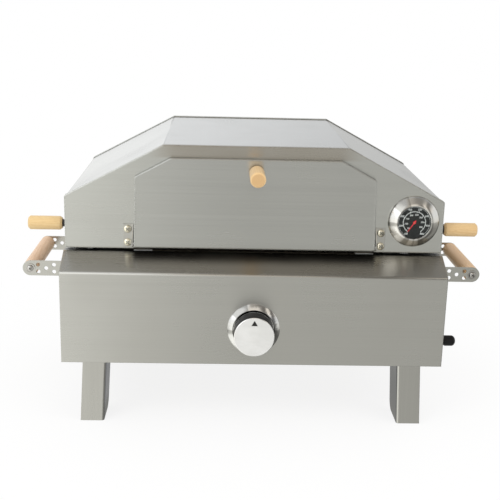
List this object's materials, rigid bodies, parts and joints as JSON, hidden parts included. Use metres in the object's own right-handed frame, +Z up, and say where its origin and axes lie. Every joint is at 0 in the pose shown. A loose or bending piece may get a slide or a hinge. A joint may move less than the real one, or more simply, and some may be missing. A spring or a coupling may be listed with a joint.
{
  "type": "gas pizza oven",
  "caption": "Table-top gas pizza oven: bent-steel base on folding legs, rear-hinged faceted hood, drop-down door, wooden grips, dial thermometer.",
  "frame": {"origin": "on the ground, under the centre of the whole object's bounding box", "axes": "+X to the right of a person facing the door, +Y to the back, +Z up"},
  "size_m": [0.6384, 0.4002, 0.376],
  "materials": {
    "brushed_steel": "horizontally brushed stainless sheet",
    "zinc_steel": "plain galvanised or bare steel",
    "heat_steel": "heat-tinted stainless steel",
    "dark_steel": "blackened steel",
    "fastener_steel": "plated screws and rivets",
    "chrome": "polished chrome",
    "beech_wood": "clear-lacquered turned beech",
    "black_plastic": "black heat-resistant plastic",
    "dial_black": "black printed dial plate",
    "needle_red": "red painted pointer",
    "clear_glass": "flat clear lens",
    "brass": "machined brass",
    "tube_aluminium": "drawn tube",
    "ceramic": "glazed alumina insulator",
    "wire_jacket": "silicone-jacketed lead",
    "stone": "cordierite baking stone"
  },
  "bodies": {
    "base": {"base_front_panel": "brushed_steel", "base_side_left": "brushed_steel", "base_side_right": "brushed_steel", "base_back_panel": "brushed_steel", "burner_pan": "heat_steel", "flame_spreader": "heat_steel", "stone_rail_left": "zinc_steel", "stone_rail_right": "zinc_steel", "pizza_stone": "stone", "burner_tube": "heat_steel", "gas_orifice": "brass", "gas_valve_body": "brass", "gas_pipe": "tube_aluminium", "gas_inlet_fitting": "brass", "knob_bezel": "chrome", "igniter_barrel": "black_plastic", "igniter_nut": "zinc_steel", "igniter_wire": "wire_jacket", "electrode_ceramic": "ceramic", "electrode_rod": "zinc_steel", "carry_bracket_left": "brushed_steel", "carry_bracket_right": "brushed_steel", "carry_grip_left": "beech_wood", "carry_grip_right": "beech_wood", "carry_grip_bolts": "fastener_steel", "carry_bracket_rivets": "fastener_steel", "leg_hanger_front": "zinc_steel", "leg_hanger_rear": "zinc_steel", "leg_pivot_pins": "fastener_steel", "base_rivets": "fastener_steel", "hinge_leaf_base": "zinc_steel"},
    "leg_left": {"leg_left": "brushed_steel"},
    "leg_right": {"leg_right": "brushed_steel"},
    "hood": {"hood_wrapper": "brushed_steel", "hood_front_frame": "brushed_steel", "hood_back_panel": "brushed_steel", "hinge_leaf_hood": "zinc_steel", "hinge_pin": "zinc_steel", "hinge_rivets_hood": "fastener_steel", "hood_handle_left": "beech_wood", "hood_handle_right": "beech_wood", "hood_handle_studs": "dark_steel", "thermometer_case": "zinc_steel", "thermometer_bezel": "chrome", "thermometer_dial": "dial_black", "thermometer_lens": "clear_glass", "thermometer_nut": "zinc_steel", "door_hinge_left": "brushed_steel", "door_hinge_right": "brushed_steel", "door_hinge_screws": "fastener_steel", "door_hinge_pins": "zinc_steel"},
    "needle": {"thermometer_needle": "needle_red"},
    "door": {"door_panel": "brushed_steel", "door_knob": "beech_wood", "door_knob_screw": "fastener_steel"},
    "valve_push": {"valve_thrust_washer": "dark_steel"},
    "control_knob": {"valve_stem": "brass", "control_knob": "black_plastic", "control_knob_cap": "chrome"},
    "igniter_button": {"igniter_button": "black_plastic"}
  },
  "joints": [
    {"name": "hood_hinge", "type": "hinge", "parent": "base", "child": "hood", "pos_m": [0, 0.18335, 0.233], "axis": [-1, 0, 0], "range_deg": [0, 75]},
    {"name": "door_hinge", "type": "hinge", "parent": "hood", "child": "door", "pos_m": [0, -0.13085, 0.243], "axis": [1, 0, 0], "range_deg": [0, 90]},
    {"name": "leg_left_fold", "type": "hinge", "parent": "base", "child": "leg_left", "pos_m": [-0.2123, 0.00615, 0.104], "axis": [0, -1, 0], "range_deg": [0, 93]},
    {"name": "leg_right_fold", "type": "hinge", "parent": "base", "child": "leg_right", "pos_m": [0.2123, 0.00615, 0.104], "axis": [0, 1, 0], "range_deg": [0, 93]},
    {"name": "knob_push", "type": "slide", "parent": "base", "child": "valve_push", "axis": [0, 1, 0], "range_m": [0, 0.003]},
    {"name": "knob_turn", "type": "hinge", "parent": "valve_push", "child": "control_knob", "pos_m": [0, -0.18085, 0.1368], "axis": [0, -1, 0], "range_deg": [0, 180]},
    {"name": "igniter_press", "type": "slide", "parent": "base", "child": "igniter_button", "axis": [-1, 0, 0], "range_m": [0, 0.007]},
    {"name": "thermometer_turn", "type": "hinge", "parent": "hood", "child": "needle", "pos_m": [0.214, -0.13355, 0.279], "axis": [0, 1, 0], "range_deg": [0, 290]}
  ]
}
